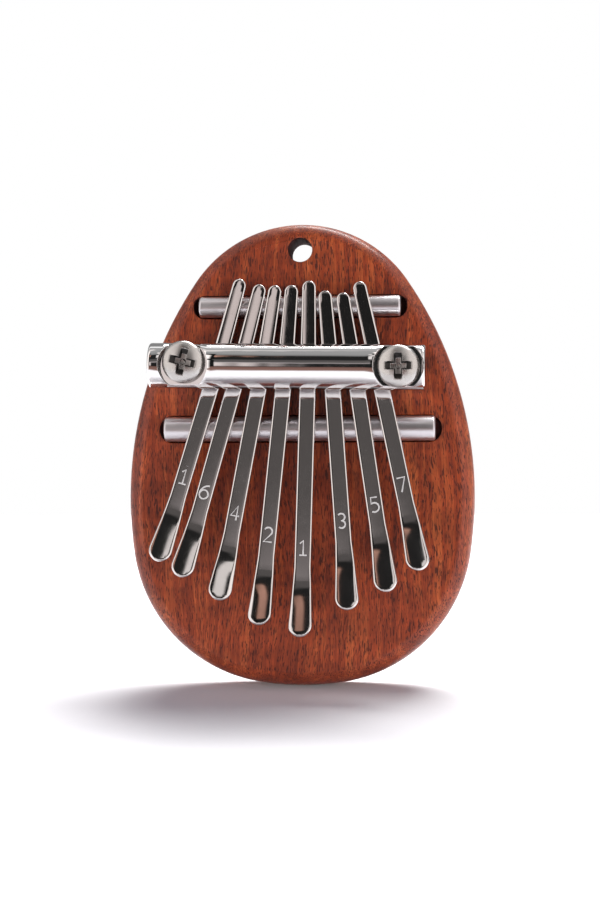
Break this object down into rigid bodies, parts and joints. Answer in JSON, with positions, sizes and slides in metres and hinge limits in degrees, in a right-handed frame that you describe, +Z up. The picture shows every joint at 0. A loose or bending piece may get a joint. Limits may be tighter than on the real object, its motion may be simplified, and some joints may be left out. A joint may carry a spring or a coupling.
{
  "type": "mbira",
  "caption": "Palm-sized egg-shaped thumb piano: sprung steel tines clamped across bridge rods on a solid hardwood board, with a hang hole.",
  "frame": {"origin": "centre of the hang hole, half way through the board", "axes": "+Z up towards the hang hole end, -Y towards the player's side with the tines, X across the board"},
  "size_m": [0.066, 0.0224, 0.088],
  "materials": {
    "board_wood": "oiled mahogany, satin",
    "rod_steel": "satin turned rod",
    "bar_chrome": "polished plating",
    "screw_nickel": "bright nickel plating",
    "tine_steel": "polished spring steel with rounded edges"
  },
  "bodies": {
    "board": {"board": "board_wood", "back_bridge_rod": "rod_steel", "front_bridge_rod": "rod_steel", "pressure_bar": "bar_chrome", "left_screw": "screw_nickel", "right_screw": "screw_nickel"},
    "tine_high_c": {"tine_high_c": "tine_steel"},
    "tine_a": {"tine_a": "tine_steel"},
    "tine_f": {"tine_f": "tine_steel"},
    "tine_d": {"tine_d": "tine_steel"},
    "tine_low_c": {"tine_low_c": "tine_steel"},
    "tine_e": {"tine_e": "tine_steel"},
    "tine_g": {"tine_g": "tine_steel"},
    "tine_b": {"tine_b": "tine_steel"}
  },
  "joints": [
    {"name": "pluck_high_c", "type": "hinge", "parent": "board", "child": "tine_high_c", "pos_m": [-0.01882, -0.006, -0.0342], "axis": [1, 0, 0], "range_deg": [-3, 3], "stiffness_Nm_per_rad": 6.1, "deforming": ["tine_high_c"]},
    {"name": "pluck_a", "type": "hinge", "parent": "board", "child": "tine_a", "pos_m": [-0.01422, -0.006, -0.0342], "axis": [1, 0, 0], "range_deg": [-3, 3], "stiffness_Nm_per_rad": 5.5, "deforming": ["tine_a"]},
    {"name": "pluck_f", "type": "hinge", "parent": "board", "child": "tine_f", "pos_m": [-0.00883, -0.006, -0.0342], "axis": [1, 0, 0], "range_deg": [-3, 3], "stiffness_Nm_per_rad": 4.8, "deforming": ["tine_f"]},
    {"name": "pluck_d", "type": "hinge", "parent": "board", "child": "tine_d", "pos_m": [-0.00355, -0.006, -0.0342], "axis": [1, 0, 0], "range_deg": [-3, 3], "stiffness_Nm_per_rad": 4.3, "deforming": ["tine_d"]},
    {"name": "pluck_low_c", "type": "hinge", "parent": "board", "child": "tine_low_c", "pos_m": [0.0016, -0.006, -0.0342], "axis": [1, 0, 0], "range_deg": [-3, 3], "stiffness_Nm_per_rad": 4.1, "deforming": ["tine_low_c"]},
    {"name": "pluck_e", "type": "hinge", "parent": "board", "child": "tine_e", "pos_m": [0.00705, -0.006, -0.0342], "axis": [1, 0, 0], "range_deg": [-3, 3], "stiffness_Nm_per_rad": 4.6, "deforming": ["tine_e"]},
    {"name": "pluck_g", "type": "hinge", "parent": "board", "child": "tine_g", "pos_m": [0.01225, -0.006, -0.0342], "axis": [1, 0, 0], "range_deg": [-3, 3], "stiffness_Nm_per_rad": 5.1, "deforming": ["tine_g"]},
    {"name": "pluck_b", "type": "hinge", "parent": "board", "child": "tine_b", "pos_m": [0.01728, -0.006, -0.0342], "axis": [1, 0, 0], "range_deg": [-3, 3], "stiffness_Nm_per_rad": 5.8, "deforming": ["tine_b"]}
  ]
}
